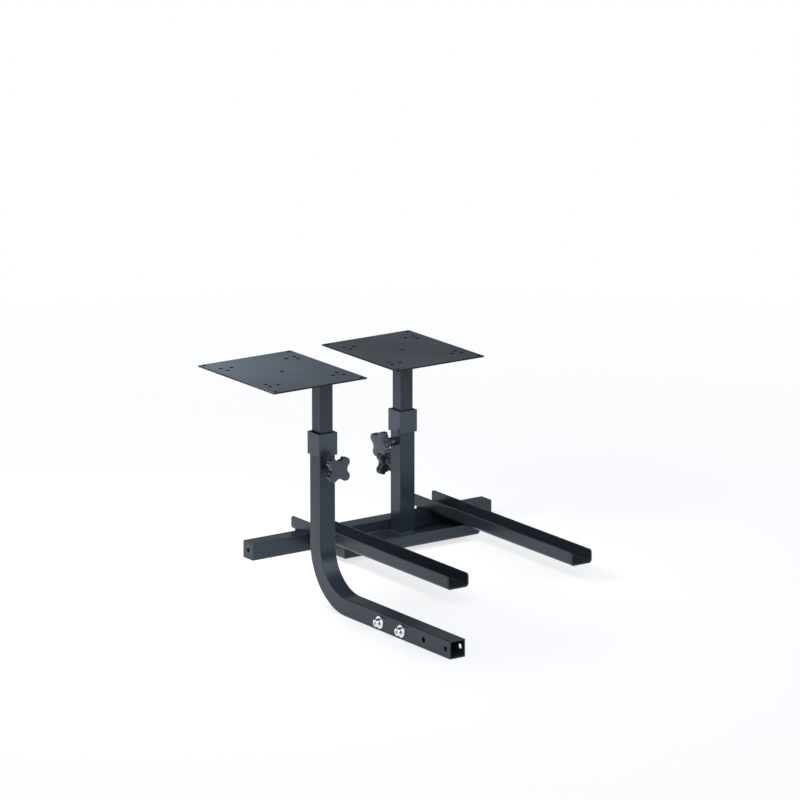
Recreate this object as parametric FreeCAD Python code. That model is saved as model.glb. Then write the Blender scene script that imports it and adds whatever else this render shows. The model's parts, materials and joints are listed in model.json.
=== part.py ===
"""Flight stick mount: a bolt-in seat frame with a stick post, and a bent side stand for the throttle.

Millimetres. The origin is the centre of the cross tube's left end face. X runs along the seat rails
to the front, Y along the cross tube to the right, and Z is up.
"""
import FreeCAD, Part
import math
import os

V = FreeCAD.Vector
X_AXIS = V(1, 0, 0)
Y_AXIS = V(0, 1, 0)
Z_AXIS = V(0, 0, 1)

# Square tubes
TUBE = 30.0
TUBE_WALL = 2.0
TUBE_CORNER = 1.2
MAST = 25.0
MAST_WALL = 2.0
MAST_CORNER = 1.0

# Cross tube with its welded end plates
CROSS_LENGTH = 494.0
END_PLATE = 4.0
END_HOLE_R = 4.0

# Seat rails, folded from sheet
RAIL_LENGTH = 461.0
RAIL_WIDTH = 43.0
RAIL_HEIGHT = 23.0
RAIL_OVERHANG = 13.0
RAIL_LEFT_Y = 106.0
RAIL_PITCH = 251.5
RAIL_END_ROUND = 5.0

# Tray in front of the cross tube
TRAY_DEPTH = 107.0
TRAY_HEIGHT = 22.0
TRAY_INSET = 7.5
SHEET = 3.0
BEND_INSIDE = 3.0

# Stick post on the tray
POST_GAP = 3.0
STICK_Y = 292.3
STICK_PLATE_TOP = 314.5
STICK_COLLAR_TOP = 211.5
STICK_MAST_LENGTH = 240.0

# Bent throttle stand beside the frame
CLAMP_GAP = 28.5
STAND_X = 290.0
STAND_REACH = 383.0
STAND_BEND_R = 88.0
THROTTLE_PLATE_TOP = 388.5
THROTTLE_COLLAR_TOP = 276.5
THROTTLE_MAST_LENGTH = 195.0
SIDE_HOLE_R = 4.5
SIDE_HOLE_COUNT = 4
SIDE_HOLE_PITCH = 61.0
SIDE_HOLE_END = 12.0

# Collar sleeves on the outer tubes
COLLAR_WALL = 3.0
COLLAR_CORNER = 1.5
COLLAR_HEIGHT = 38.0
COLLAR_RIM = 3.0

# Device plates
PLATE_X = 224.0
PLATE_Y = 181.0
PLATE_THICK = 2.5
PLATE_CORNER = 1.0
PLATE_HOLE_R = 3.2
PLATE_PATTERNS = [(144.0, 143.0), (113.0, 137.0), (137.0, 107.0), (211.0, 165.0)]

# Clamp knobs: stud, weld nut and four-lobed, fluted grip
KNOB_DROP = 16.5
LOWER_KNOB_DROP = 49.0
STUD_R = 4.0
STUD_CLEAR = 0.3
NUT_FLATS = 13.0
NUT_HEIGHT = 6.5
NECK_GAP = 3.0
NECK_R = 8.0
NECK_LENGTH = 15.0
GRIP_THICK = 12.0
GRIP_LOBES = 4
GRIP_TURN = 45.0
UPPER_GRIP_TURN = 62.0
LOBE_R = 7.8
LOBE_CENTRE_R = 17.0
VALLEY_R = 9.5
GRIP_EDGE = 1.2
FLUTES_PER_LOBE = 4
FLUTE_STEP = 60.0
FLUTE_R = 2.3
FLUTE_DEPTH = 1.6
FLUTE_STOP = 2.2
STUD_IN_KNOB = 20.0

# Cap screws that hold the stand
SCREW_COUNT = 2
SCREW_R = 4.0
SCREW_THREAD_R = 3.6
SCREW_HEAD_R = 6.5
SCREW_HEAD_HEIGHT = 8.0
SCREW_SOCKET_FLATS = 6.0
SCREW_SOCKET_DEPTH = 4.0
SCREW_PAST_STAND = 14.0
WASHER_R = 10.5
WASHER_THICK = 2.5
HEAD_EDGE = 0.8

# Places worked out from the sizes above
HALF = TUBE / 2
RAIL_Z = HALF
RAIL_X = -HALF - RAIL_OVERHANG
TRAY_X = HALF
TRAY_Y0 = RAIL_LEFT_Y + TRAY_INSET
TRAY_LENGTH = RAIL_PITCH + RAIL_WIDTH - 2 * TRAY_INSET
TRAY_FLOOR = HALF - TRAY_HEIGHT + SHEET
POST_X = TRAY_X + SHEET + POST_GAP + HALF
STAND_Y = -CLAMP_GAP - HALF
STAND_END = STAND_X + STAND_REACH
THROTTLE_PLATE_Y = STAND_Y + MAST / 2 - PLATE_Y / 2

# Places nearer to each other than this are the same
SAME_PLACE = 1e-6


def rounded_rectangle(width, depth, radius):
    """Closed wire in the XY plane, centred on the origin."""
    x = width / 2
    y = depth / 2
    d = radius * (1 - math.sqrt(0.5))
    corners = [
        (V(x - radius, -y), V(x - d, -y + d), V(x, -y + radius)),
        (V(x, y - radius), V(x - d, y - d), V(x - radius, y)),
        (V(-x + radius, y), V(-x + d, y - d), V(-x, y - radius)),
        (V(-x, -y + radius), V(-x + d, -y + d), V(-x + radius, -y)),
    ]
    edges = []
    for i, (start, middle, end) in enumerate(corners):
        edges.append(Part.Arc(start, middle, end).toShape())
        edges.append(Part.LineSegment(end, corners[(i + 1) % 4][0]).toShape())
    return Part.Wire(edges)


def tube_section(size, wall, corner):
    """Ring face of a square tube in the XY plane."""
    outer = Part.Face(rounded_rectangle(size, size, corner))
    bore = size - 2 * wall
    inner = Part.Face(rounded_rectangle(bore, bore, max(corner - wall, wall / 2)))
    return outer.cut(inner).Faces[0]


def upright_tube(size, wall, corner, x, y, bottom, top):
    tube = tube_section(size, wall, corner).extrude(V(0, 0, top - bottom))
    tube.translate(V(x, y, bottom))
    return tube


def cylinder(radius, length, base, direction):
    return Part.makeCylinder(radius, length, base, direction)


def hexagon(flats, length, base, direction):
    """Hexagonal prism that starts at base and runs along direction."""
    corners = [polar(flats / math.sqrt(3), math.radians(60 * i)) for i in range(6)]
    outline = Part.makePolygon(corners + corners[:1])
    prism = Part.Face(outline).extrude(V(0, 0, length))
    return aim(prism, base, direction)


def polar(radius, angle):
    return V(radius * math.cos(angle), radius * math.sin(angle), 0)


def aim(shape, base, direction):
    """Turn a shape made along +Z to point along direction, and set it at base."""
    shape.Placement = FreeCAD.Placement(base, FreeCAD.Rotation(Z_AXIS, direction))
    return shape


def channel(width, height, length, end_round):
    """Folded channel along +X from x = 0, open upwards, its floor's underside at z = 0."""
    outside = BEND_INSIDE + SHEET
    outer = Part.makeBox(length, width, height)
    inner = Part.makeBox(length, width - 2 * SHEET, height, V(0, SHEET, SHEET))
    outer = outer.makeFillet(outside, long_edges(outer, 0, width, 0))
    inner = inner.makeFillet(BEND_INSIDE, long_edges(inner, SHEET, width - SHEET, SHEET))
    return outer.cut(inner).common(side_outline(width, height, length, end_round))


def long_edges(box, y_low, y_high, z):
    """The two lower edges of a box that run along X."""
    found = []
    for edge in box.Edges:
        c = edge.CenterOfMass
        along_x = abs(edge.tangentAt(edge.FirstParameter).x) > 0.99
        at_side = min(abs(c.y - y_low), abs(c.y - y_high)) < SAME_PLACE
        if along_x and at_side and abs(c.z - z) < SAME_PLACE:
            found.append(edge)
    return found


def side_outline(width, height, length, radius):
    """Block with its two upper ends rounded, which trims the flanges of a channel."""
    d = radius * (1 - math.sqrt(0.5))
    low = height - radius
    far = length - radius
    edges = [
        Part.LineSegment(V(0, 0, 0), V(length, 0, 0)),
        Part.LineSegment(V(length, 0, 0), V(length, 0, low)),
        Part.Arc(V(length, 0, low), V(length - d, 0, height - d), V(far, 0, height)),
        Part.LineSegment(V(far, 0, height), V(radius, 0, height)),
        Part.Arc(V(radius, 0, height), V(d, 0, height - d), V(0, 0, low)),
        Part.LineSegment(V(0, 0, low), V(0, 0, 0)),
    ]
    wire = Part.Wire([e.toShape() for e in edges])
    return Part.Face(wire).extrude(V(0, width, 0))


def cross_tube():
    section = tube_section(TUBE, TUBE_WALL, TUBE_CORNER)
    tube = section.extrude(V(0, 0, CROSS_LENGTH - 2 * END_PLATE))
    return aim(tube, V(0, END_PLATE, 0), Y_AXIS)


def cross_end(y):
    plate = Part.Face(rounded_rectangle(TUBE, TUBE, TUBE_CORNER)).extrude(V(0, 0, END_PLATE))
    plate = aim(plate, V(0, y, 0), Y_AXIS)
    return plate.cut(cylinder(END_HOLE_R, END_PLATE, V(0, y, 0), Y_AXIS))


def rail(y):
    body = channel(RAIL_WIDTH, RAIL_HEIGHT, RAIL_LENGTH, RAIL_END_ROUND)
    body.translate(V(RAIL_X, y, RAIL_Z))
    return body


def tray():
    """Shallow pan with four walls, bent round along its bottom."""
    outer = Part.makeBox(TRAY_DEPTH, TRAY_LENGTH, TRAY_HEIGHT)
    inner = Part.makeBox(TRAY_DEPTH - 2 * SHEET, TRAY_LENGTH - 2 * SHEET, TRAY_HEIGHT, V(SHEET, SHEET, SHEET))
    outer = outer.makeFillet(BEND_INSIDE + SHEET, bottom_edges(outer))
    inner = inner.makeFillet(BEND_INSIDE, bottom_edges(inner))
    body = outer.cut(inner)
    body.translate(V(TRAY_X, TRAY_Y0, HALF - TRAY_HEIGHT))
    return body


def bottom_edges(box):
    return [e for e in box.Edges if e.BoundBox.ZMax < box.BoundBox.ZMin + SAME_PLACE]


def collar(x, y, top):
    size = TUBE + 2 * COLLAR_WALL
    outer = Part.Face(rounded_rectangle(size, size, COLLAR_CORNER))
    inner = Part.Face(rounded_rectangle(TUBE, TUBE, TUBE_CORNER))
    sleeve = outer.cut(inner).Faces[0].extrude(V(0, 0, COLLAR_HEIGHT))
    sleeve.translate(V(x, y, top - COLLAR_HEIGHT))
    return sleeve


def device_plate(x, y, top):
    plate = Part.Face(rounded_rectangle(PLATE_X, PLATE_Y, PLATE_CORNER)).extrude(V(0, 0, PLATE_THICK))
    spots = [(0.0, 0.0)]
    for across, along in PLATE_PATTERNS:
        spots += [(i * across / 2, j * along / 2) for i in (-1, 1) for j in (-1, 1)]
    for i, j in spots:
        plate = plate.cut(cylinder(PLATE_HOLE_R, PLATE_THICK, V(i, j, 0), Z_AXIS))
    plate.translate(V(x, y, top - PLATE_THICK))
    return plate


def throttle_stand():
    """Upright, a quarter bend and a level run with cross holes, as one tube."""
    upright = upright_tube(TUBE, TUBE_WALL, TUBE_CORNER, STAND_X, STAND_Y,
                           STAND_BEND_R, THROTTLE_COLLAR_TOP - COLLAR_RIM)
    section = tube_section(TUBE, TUBE_WALL, TUBE_CORNER)
    section.translate(V(STAND_X, STAND_Y, STAND_BEND_R))
    bend = section.revolve(V(STAND_X + STAND_BEND_R, STAND_Y, STAND_BEND_R), Y_AXIS, -90)
    run = tube_section(TUBE, TUBE_WALL, TUBE_CORNER).extrude(V(0, 0, STAND_REACH - STAND_BEND_R))
    run = aim(run, V(STAND_X + STAND_BEND_R, STAND_Y, 0), X_AXIS)
    tube = upright.fuse([bend, run]).removeSplitter()
    for i in range(SIDE_HOLE_COUNT):
        tube = tube.cut(cylinder(SIDE_HOLE_R, TUBE, V(side_hole_x(i), STAND_Y - HALF, 0), Y_AXIS))
    hole = stud_hole(V(STAND_X + HALF, STAND_Y, throttle_knob_z()), X_AXIS)
    return tube.cut(hole).Solids[0]


def side_hole_x(index):
    """Place of a side hole, counted from the bend."""
    return STAND_END - SIDE_HOLE_END - (SIDE_HOLE_COUNT - 1 - index) * SIDE_HOLE_PITCH


def throttle_knob_z():
    return THROTTLE_COLLAR_TOP - COLLAR_HEIGHT - KNOB_DROP


def stick_knob_z():
    return STICK_COLLAR_TOP - COLLAR_HEIGHT - KNOB_DROP


def stud_hole(face_point, outward):
    """Clearance bore through one tube wall for a clamp stud."""
    return cylinder(STUD_R + STUD_CLEAR, TUBE_WALL, face_point - outward * TUBE_WALL, outward)


def stick_post():
    tube = upright_tube(TUBE, TUBE_WALL, TUBE_CORNER, POST_X, STICK_Y,
                        TRAY_FLOOR, STICK_COLLAR_TOP - COLLAR_RIM)
    for name, face_point, outward, turn in stick_clamps():
        tube = tube.cut(stud_hole(face_point, outward))
    return tube.Solids[0]


def stick_clamps():
    """Name, point on the post's face, direction and turn of the grip, for the upper and the lower clamp."""
    upper = V(POST_X, STICK_Y - HALF, stick_knob_z())
    lower = V(POST_X - HALF, STICK_Y, stick_knob_z() - LOWER_KNOB_DROP)
    return [("stick_upper", upper, -Y_AXIS, UPPER_GRIP_TURN), ("stick_lower", lower, -X_AXIS, GRIP_TURN)]


def clamp_nut(face_point, outward):
    nut = hexagon(NUT_FLATS, NUT_HEIGHT, face_point, outward)
    return nut.cut(cylinder(STUD_R + STUD_CLEAR, NUT_HEIGHT, face_point, outward))


def clamp_stud(face_point, outward):
    """From just clear of the mast to inside the grip."""
    tip = -(HALF - MAST / 2 - STUD_CLEAR)
    end = NUT_HEIGHT + NECK_GAP + STUD_IN_KNOB
    return cylinder(STUD_R, end - tip, face_point + outward * tip, outward)


def valley_centre_r():
    """Distance from the grip's axis to the centre of a valley arc that touches both lobes beside it."""
    half_step = math.pi / GRIP_LOBES
    across = LOBE_CENTRE_R * math.sin(half_step)
    return LOBE_CENTRE_R * math.cos(half_step) + math.sqrt((LOBE_R + VALLEY_R) ** 2 - across ** 2)


def grip_outline():
    """Lobes and valleys as tangent arcs, in the XY plane."""
    half_step = math.pi / GRIP_LOBES
    share = LOBE_R / (LOBE_R + VALLEY_R)
    edges = []
    for i in range(GRIP_LOBES):
        a = 2 * half_step * i
        lobe = polar(LOBE_CENTRE_R, a)
        before = polar(valley_centre_r(), a - half_step)
        after = polar(valley_centre_r(), a + half_step)
        following = polar(LOBE_CENTRE_R, a + 2 * half_step)
        start = lobe + (before - lobe) * share
        end = lobe + (after - lobe) * share
        next_start = following + (after - following) * share
        tip = polar(LOBE_CENTRE_R + LOBE_R, a)
        bottom = polar(valley_centre_r() - VALLEY_R, a + half_step)
        edges.append(Part.Arc(start, tip, end).toShape())
        edges.append(Part.Arc(end, bottom, next_start).toShape())
    return Part.Wire(edges)


def grip_flutes():
    """Round cutters from the grip's back, one in each valley and a row round each lobe, short of its front."""
    half_step = math.pi / GRIP_LOBES
    proud = FLUTE_R - FLUTE_DEPTH
    spots = []
    for i in range(GRIP_LOBES):
        a = 2 * half_step * i
        spots.append(polar(valley_centre_r() - VALLEY_R + proud, a + half_step))
        for k in range(FLUTES_PER_LOBE):
            around = a + math.radians(FLUTE_STEP) * (k - (FLUTES_PER_LOBE - 1) / 2)
            spots.append(polar(LOBE_CENTRE_R, a) + polar(LOBE_R + proud, around))
    return [cylinder(FLUTE_R, GRIP_THICK - FLUTE_STOP, spot, Z_AXIS) for spot in spots]


def clamp_knob(face_point, outward, turn):
    """Lobed grip on a round neck, bored for its stud."""
    grip = Part.Face(grip_outline()).extrude(V(0, 0, GRIP_THICK))
    rims = [e for e in grip.Edges if abs(e.BoundBox.ZLength) < SAME_PLACE]
    grip = grip.makeChamfer(GRIP_EDGE, rims)
    for flute in grip_flutes():
        grip = grip.cut(flute)
    grip.rotate(V(0, 0, 0), Z_AXIS, turn)
    grip.translate(V(0, 0, NECK_LENGTH))
    knob = grip.fuse(cylinder(NECK_R, NECK_LENGTH, V(0, 0, 0), Z_AXIS)).removeSplitter()
    knob = knob.cut(cylinder(STUD_R, STUD_IN_KNOB, V(0, 0, 0), Z_AXIS))
    return aim(knob.Solids[0], face_point + outward * (NUT_HEIGHT + NECK_GAP), outward)


def cap_screw(x):
    """Socket screw through both walls of the stand, its head towards -Y and its thread past the stand."""
    face = V(x, STAND_Y - HALF - WASHER_THICK, 0)
    head = cylinder(SCREW_HEAD_R, SCREW_HEAD_HEIGHT, V(0, 0, 0), Z_AXIS)
    top = [e for e in head.Edges if e.BoundBox.ZMin > SCREW_HEAD_HEIGHT - SAME_PLACE]
    head = head.makeFillet(HEAD_EDGE, top)
    head = head.cut(hexagon(SCREW_SOCKET_FLATS, SCREW_SOCKET_DEPTH,
                            V(0, 0, SCREW_HEAD_HEIGHT - SCREW_SOCKET_DEPTH), Z_AXIS))
    head = aim(head, face, -Y_AXIS)
    shank = cylinder(SCREW_R, WASHER_THICK + TUBE, face, Y_AXIS)
    thread = cylinder(SCREW_THREAD_R, SCREW_PAST_STAND, V(x, STAND_Y + HALF, 0), Y_AXIS)
    return head.fuse([shank, thread]).removeSplitter()


def washer(x):
    face = V(x, STAND_Y - HALF, 0)
    ring = cylinder(WASHER_R, WASHER_THICK, face, -Y_AXIS)
    return ring.cut(cylinder(SIDE_HOLE_R, WASHER_THICK, face, -Y_AXIS))


def stick_frame():
    nodes = {
        "cross_tube": cross_tube(),
        "cross_end_left": cross_end(0),
        "cross_end_right": cross_end(CROSS_LENGTH - END_PLATE),
        "rail_left": rail(RAIL_LEFT_Y),
        "rail_right": rail(RAIL_LEFT_Y + RAIL_PITCH),
        "tray": tray(),
        "stick_post": stick_post(),
        "stick_collar": collar(POST_X, STICK_Y, STICK_COLLAR_TOP),
        "stick_plate": device_plate(POST_X, STICK_Y, STICK_PLATE_TOP),
        "stick_mast": upright_tube(MAST, MAST_WALL, MAST_CORNER, POST_X, STICK_Y,
                                   STICK_PLATE_TOP - PLATE_THICK - STICK_MAST_LENGTH,
                                   STICK_PLATE_TOP - PLATE_THICK),
    }
    for clamp in stick_clamps():
        nodes.update(clamp_set(*clamp))
    return nodes


def clamp_set(name, face_point, outward, turn):
    return {
        name + "_nut": clamp_nut(face_point, outward),
        name + "_stud": clamp_stud(face_point, outward),
        name + "_knob": clamp_knob(face_point, outward, turn),
    }


def throttle_side():
    nodes = {
        "throttle_stand": throttle_stand(),
        "throttle_collar": collar(STAND_X, STAND_Y, THROTTLE_COLLAR_TOP),
        "throttle_plate": device_plate(STAND_X, THROTTLE_PLATE_Y, THROTTLE_PLATE_TOP),
        "throttle_mast": upright_tube(MAST, MAST_WALL, MAST_CORNER, STAND_X, STAND_Y,
                                      THROTTLE_PLATE_TOP - PLATE_THICK - THROTTLE_MAST_LENGTH,
                                      THROTTLE_PLATE_TOP - PLATE_THICK),
    }
    knob_point = V(STAND_X + HALF, STAND_Y, throttle_knob_z())
    nodes.update(clamp_set("throttle", knob_point, X_AXIS, GRIP_TURN))
    for i in range(SCREW_COUNT):
        nodes[f"stand_screw_{i + 1}"] = cap_screw(side_hole_x(i))
        nodes[f"stand_washer_{i + 1}"] = washer(side_hole_x(i))
    return nodes


os.makedirs("parts", exist_ok=True)
for name, shape in {**stick_frame(), **throttle_side()}.items():
    shape.exportStep(f"parts/{name}.step")
    box = shape.BoundBox
    print(f"{name:18s} valid {shape.isValid()} solids {len(shape.Solids)} volume {shape.Volume:.0f}",
          f"X {box.XMin:.1f} {box.XMax:.1f} Y {box.YMin:.1f} {box.YMax:.1f} Z {box.ZMin:.1f} {box.ZMax:.1f}")
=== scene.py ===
"""Flight stick mount: finishes, rounded edges, threads, fluted clamp knobs, weld beads and the studio."""
import json
import math

import bmesh
import bpy
from bpy.props import FloatProperty, FloatVectorProperty, PointerProperty
from mathutils import Matrix, Vector


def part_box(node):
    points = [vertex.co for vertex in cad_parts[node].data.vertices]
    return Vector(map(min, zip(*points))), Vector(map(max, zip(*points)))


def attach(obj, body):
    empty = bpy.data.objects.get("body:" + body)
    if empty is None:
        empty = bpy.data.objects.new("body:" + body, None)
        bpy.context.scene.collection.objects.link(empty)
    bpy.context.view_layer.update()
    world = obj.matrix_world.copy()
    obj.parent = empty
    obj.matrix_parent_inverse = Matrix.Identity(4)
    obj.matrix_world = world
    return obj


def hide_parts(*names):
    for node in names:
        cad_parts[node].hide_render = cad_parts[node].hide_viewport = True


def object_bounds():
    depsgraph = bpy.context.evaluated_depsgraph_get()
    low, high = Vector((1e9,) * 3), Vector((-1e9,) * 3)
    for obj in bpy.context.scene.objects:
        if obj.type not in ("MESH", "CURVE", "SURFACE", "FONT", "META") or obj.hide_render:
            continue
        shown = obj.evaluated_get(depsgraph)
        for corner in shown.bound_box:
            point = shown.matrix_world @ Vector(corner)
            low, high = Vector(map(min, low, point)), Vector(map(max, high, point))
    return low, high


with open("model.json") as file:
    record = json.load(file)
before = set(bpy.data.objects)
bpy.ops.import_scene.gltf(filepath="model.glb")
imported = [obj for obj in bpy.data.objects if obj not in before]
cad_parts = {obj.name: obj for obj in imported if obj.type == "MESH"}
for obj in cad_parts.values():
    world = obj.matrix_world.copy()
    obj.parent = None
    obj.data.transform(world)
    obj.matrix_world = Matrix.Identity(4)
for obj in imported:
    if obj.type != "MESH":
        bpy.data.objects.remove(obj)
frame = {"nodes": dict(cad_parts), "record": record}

bl_info = {
    "name": "Flight Stick Mount",
    "version": (1, 0, 0),
    "blender": (4, 5, 0),
    "location": "View3D > Sidebar > Stick Mount",
    "description": "Dresses a welded steel stick and throttle mount with its finishes and small parts",
    "category": "Object",
}

CAD_LOW, CAD_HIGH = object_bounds()
MM = 0.001
TAU = 2 * math.pi
# Vertices nearer to each other than this are one, in metres
MERGE = 1e-6
BODY_OF = {node: body for body, nodes in frame["record"]["behaviour"]["bodies"].items() for node in nodes}

# Pieces that share one way of being made
TUBES = ["cross_tube", "cross_end_left", "cross_end_right", "stick_post", "stick_mast",
         "throttle_stand", "throttle_mast"]
SHEETS = ["rail_left", "rail_right", "tray"]
PLATES = ["stick_plate", "throttle_plate"]
COLLARS = ["stick_collar", "throttle_collar"]
NUTS = ["stick_upper_nut", "stick_lower_nut", "throttle_nut"]
SCREWS = ["stand_screw_1", "stand_screw_2"]
WASHERS = ["stand_washer_1", "stand_washer_2"]
# Clamp name, the way its knob faces and the grip's turn about that way
CLAMPS = [("stick_upper", Vector((0, -1, 0)), 62.0),
          ("stick_lower", Vector((-1, 0, 0)), 45.0),
          ("throttle", Vector((1, 0, 0)), 45.0)]

# From here to the property groups, lengths are in millimetres and angles in degrees
# Rounded copies of plain pieces: faces that lie flatter are one, sharper edges are rounded, others smooth
FLAT_ANGLE = 0.4
ROUND_ANGLE = 35.0
ROUND_SEGMENTS = 2
SMOOTH_ANGLE = 40.0
# Device plates: rectangles of holes, the holes, and the corners and rims
PLATE_PATTERNS = [(144.0, 143.0), (113.0, 137.0), (137.0, 107.0), (211.0, 165.0)]
PLATE_HOLE = 3.2
PLATE_HOLE_SIDES = 40
PLATE_CORNER = 1.0
PLATE_CORNER_STEPS = 5
PLATE_RIM_STEPS = 4
# Finishes: how far their roughness and colour vary over a surface
COAT_ROUGH_SPREAD = 0.04
GRIP_ROUGH = (0.3, 0.42)
GRIP_PALER = 1.15
ZINC_ROUGH = (0.07, 0.03)
ZINC_DARKER = 0.9
# Painted shade on the walls that are cut through the plates, a near-black metal colour, and its share on
# their outer rims
CUT_WALL_SHADE = (0.006, 0.007, 0.008)
RIM_SHADE_SHARE = 0.65
# Threads: flanks' steepness, share of the root, rows to a pitch, and the run-out at each end
THREAD_STEEP = 1.5
THREAD_ROOT = 0.25
THREAD_ROWS = 8
THREAD_LEAD = 1.0
THREAD_LEAD_DROP = 0.6
# What a row of a turned profile carries: no relief, or the six sides of a key socket
PLAIN = (0, 0, 0)
SIX_SIDED = (0, 1, 0)
STUD_SEGMENTS = 24
STUD_CREASE = 40.0
# Clamp knobs: the grip's outline of lobes and valleys, its flutes and its rims
GRIP_LOBES = 4
GRIP_POINTS = 96
LOBE_RADIUS = 7.8
LOBE_CENTRE = 17.0
VALLEY_RADIUS = 9.5
FLUTE_STEP = 60.0
FLUTE_STOP = 2.2
# How far before its end a flute still has which share of its depth
FLUTE_RUN_OUT = [(1.4, 1.0), (0.7, 0.85), (0.25, 0.5), (0.0, 0.0)]
GRIP_THICK = 12.0
GRIP_EDGE = 1.2
GRIP_EDGE_STEPS = 4
KNOB_CREASE = 35.0
# The knob's neck: its bore, its rounded end and (outset, height) of its flare at the grip's back
NECK_RADIUS = 8.0
NECK_LENGTH = 15.0
NECK_SEGMENTS = 48
NECK_EDGE = 0.6
NECK_EDGE_BEND = 0.3
NECK_FLARE = [(0.0, -1.2), (0.35, -0.35), (1.2, 0.2)]
STUD_BORE = 4.1
BORE_EDGE = 0.3
BORE_DEPTH = 1.0
# Cap screws: head, key socket, shank and thread, with (inset, drop) of the head's rounded rim
HEAD_RADIUS = 6.5
HEAD_HEIGHT = 8.0
HEAD_FOOT = 0.4
HEAD_RIM = [(0.0, 1.0), (0.15, 0.6), (0.4, 0.3), (0.8, 0.08), (1.2, 0.0)]
SOCKET_HALF = 3.0
SOCKET_DEPTH = 4.0
SOCKET_LEAD = (0.35, 0.3)
SOCKET_POINT = 0.8
SHANK_RADIUS = 4.0
SHANK_STEP = 0.1
SCREW_THREAD = 14.0
SCREW_THREAD_EASE = 0.05
SCREW_SEGMENTS = 72
SCREW_CREASE = 30.0
WASHER_BORE = 4.2
WASHER_EDGE = 0.3
WASHER_SEGMENTS = 64
# Weld ripples: their shape, and how much they vary
RIPPLE_SEGMENTS = 8
RIPPLE_RINGS = 6
RIPPLE_SHORT = 0.85
RIPPLE_LEAST = 0.85
RIPPLE_MOST = 1.1
WELD_SEED = 7
WELD_CREASE = 60.0
# Weld runs: the cut corner round a tube, and the rails' runs across and along, in from a side and up
WELD_CORNER = 2.5
ACROSS_IN = 0.4
ACROSS_UP = 1.0
ALONG_IN = 1.9
ALONG_UP = 1.3
ALONG_SHORT = 1.0
# Studio, in metres: the floor's reach and gap, where it fades to white, and the small lamp
FLOOR_REACH = 30.0
FLOOR_GAP = 0.0002
FLOOR_FADE = (0.7, 2.2)
LAMP_PLACE = (0.118, -0.238, 0.64)
LAMP_SIZE = 0.2
VIEW_END = 200.0
# Ways that the studio's lights come from, with the heights between which they fade
KEY_WAY = (0.72, -0.52, 0.46)
KEY_POWER = 3.0
BOX_WAY = (0.77, 0.64, 0.0)
BOX_FADE_IN = (0.24, 0.4)
BOX_FADE_OUT = (0.62, 0.8)
BACK_WAY = (-0.82, 0.57, 0.0)
BACK_FADE = (0.3, 0.6)
# Camera sensor, in millimetres
SENSOR = 36.0


def colour(name, description, default, most=1.0):
    """Property for a colour."""
    return FloatVectorProperty(name=name, description=description, default=default,
                               subtype="COLOR", size=3, min=0.0, max=most)


def share(name, description, default):
    """Property from none to all."""
    return FloatProperty(name=name, description=description, default=default,
                         subtype="FACTOR", min=0.0, max=1.0)


def length(name, description, default, least, most):
    """Property for a length in metres."""
    return FloatProperty(name=name, description=description, default=default,
                         subtype="DISTANCE", min=least, max=most)


def strength(name, description, default):
    """Property for the strength of one of the studio's lights."""
    return FloatProperty(name=name, description=description, default=default, min=0.0, max=20.0)


def angle(name, description, default):
    """Property for an angle that is given in degrees."""
    return FloatProperty(name=name, description=description, default=math.radians(default), subtype="ANGLE")


class FinishSettings(bpy.types.PropertyGroup):
    """Colours and gloss of the mount's finishes."""
    coat: colour("Coat", "Graphite powder coat on the steel", (0.0200, 0.0250, 0.0322))
    coat_pale: colour("Coat, paler", "Paler side of the coat's slow mottling", (0.0232, 0.0290, 0.0374))
    # Paler coat on the rounded edges: a painted edge highlight
    edge: colour("Painted edge highlight", "Paler coat along an edge, a painted highlight", (0.035, 0.042, 0.052))
    grip: colour("Grip", "Moulded plastic of the clamp knobs", (0.024, 0.027, 0.032))
    zinc: colour("Zinc", "Bright plating of studs, screws and washers", (0.93, 0.91, 0.89))
    coat_rough: share("Coat roughness", "Middle roughness of the powder coat", 0.26)
    coat_gloss: share("Coat gloss", "Specular level of the powder coat", 0.44)
    collar_gloss: share("Collar gloss", "Specular level of the coat on the clamp collars", 0.76)
    grip_gloss: share("Grip gloss", "Specular level of the grips' plastic", 0.75)
    gloss_tint: colour("Gloss tint", "Cool tint of the coat's and the grips' reflections", (0.84, 0.93, 1.0))
    coat_grain: length("Coat grain", "Width of the coat's fine orange peel", 0.0011, 0.0001, 0.01)


class DetailSettings(bpy.types.PropertyGroup):
    """Sizes of the small work on the pieces."""
    edge_round: length("Edge round", "Rounding along cut steel edges", 0.0005, 0.0, 0.002)
    weld_width: length("Weld width", "Half width of a weld bead", 0.0017, 0.0005, 0.005)
    weld_pitch: length("Weld pitch", "Distance from one weld ripple to the next", 0.0017, 0.0005, 0.01)
    thread_pitch: length("Thread pitch", "Pitch of the M8 threads", 0.00125, 0.0005, 0.003)
    thread_depth: length("Thread depth", "Height of a thread from root to crest", 0.00075, 0.0, 0.002)
    flute_radius: length("Flute radius", "Radius of a finger flute on a grip's side", 0.0023, 0.0005, 0.01)
    flute_depth: length("Flute depth", "Depth of a finger flute", 0.0016, 0.0, 0.002)


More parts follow.
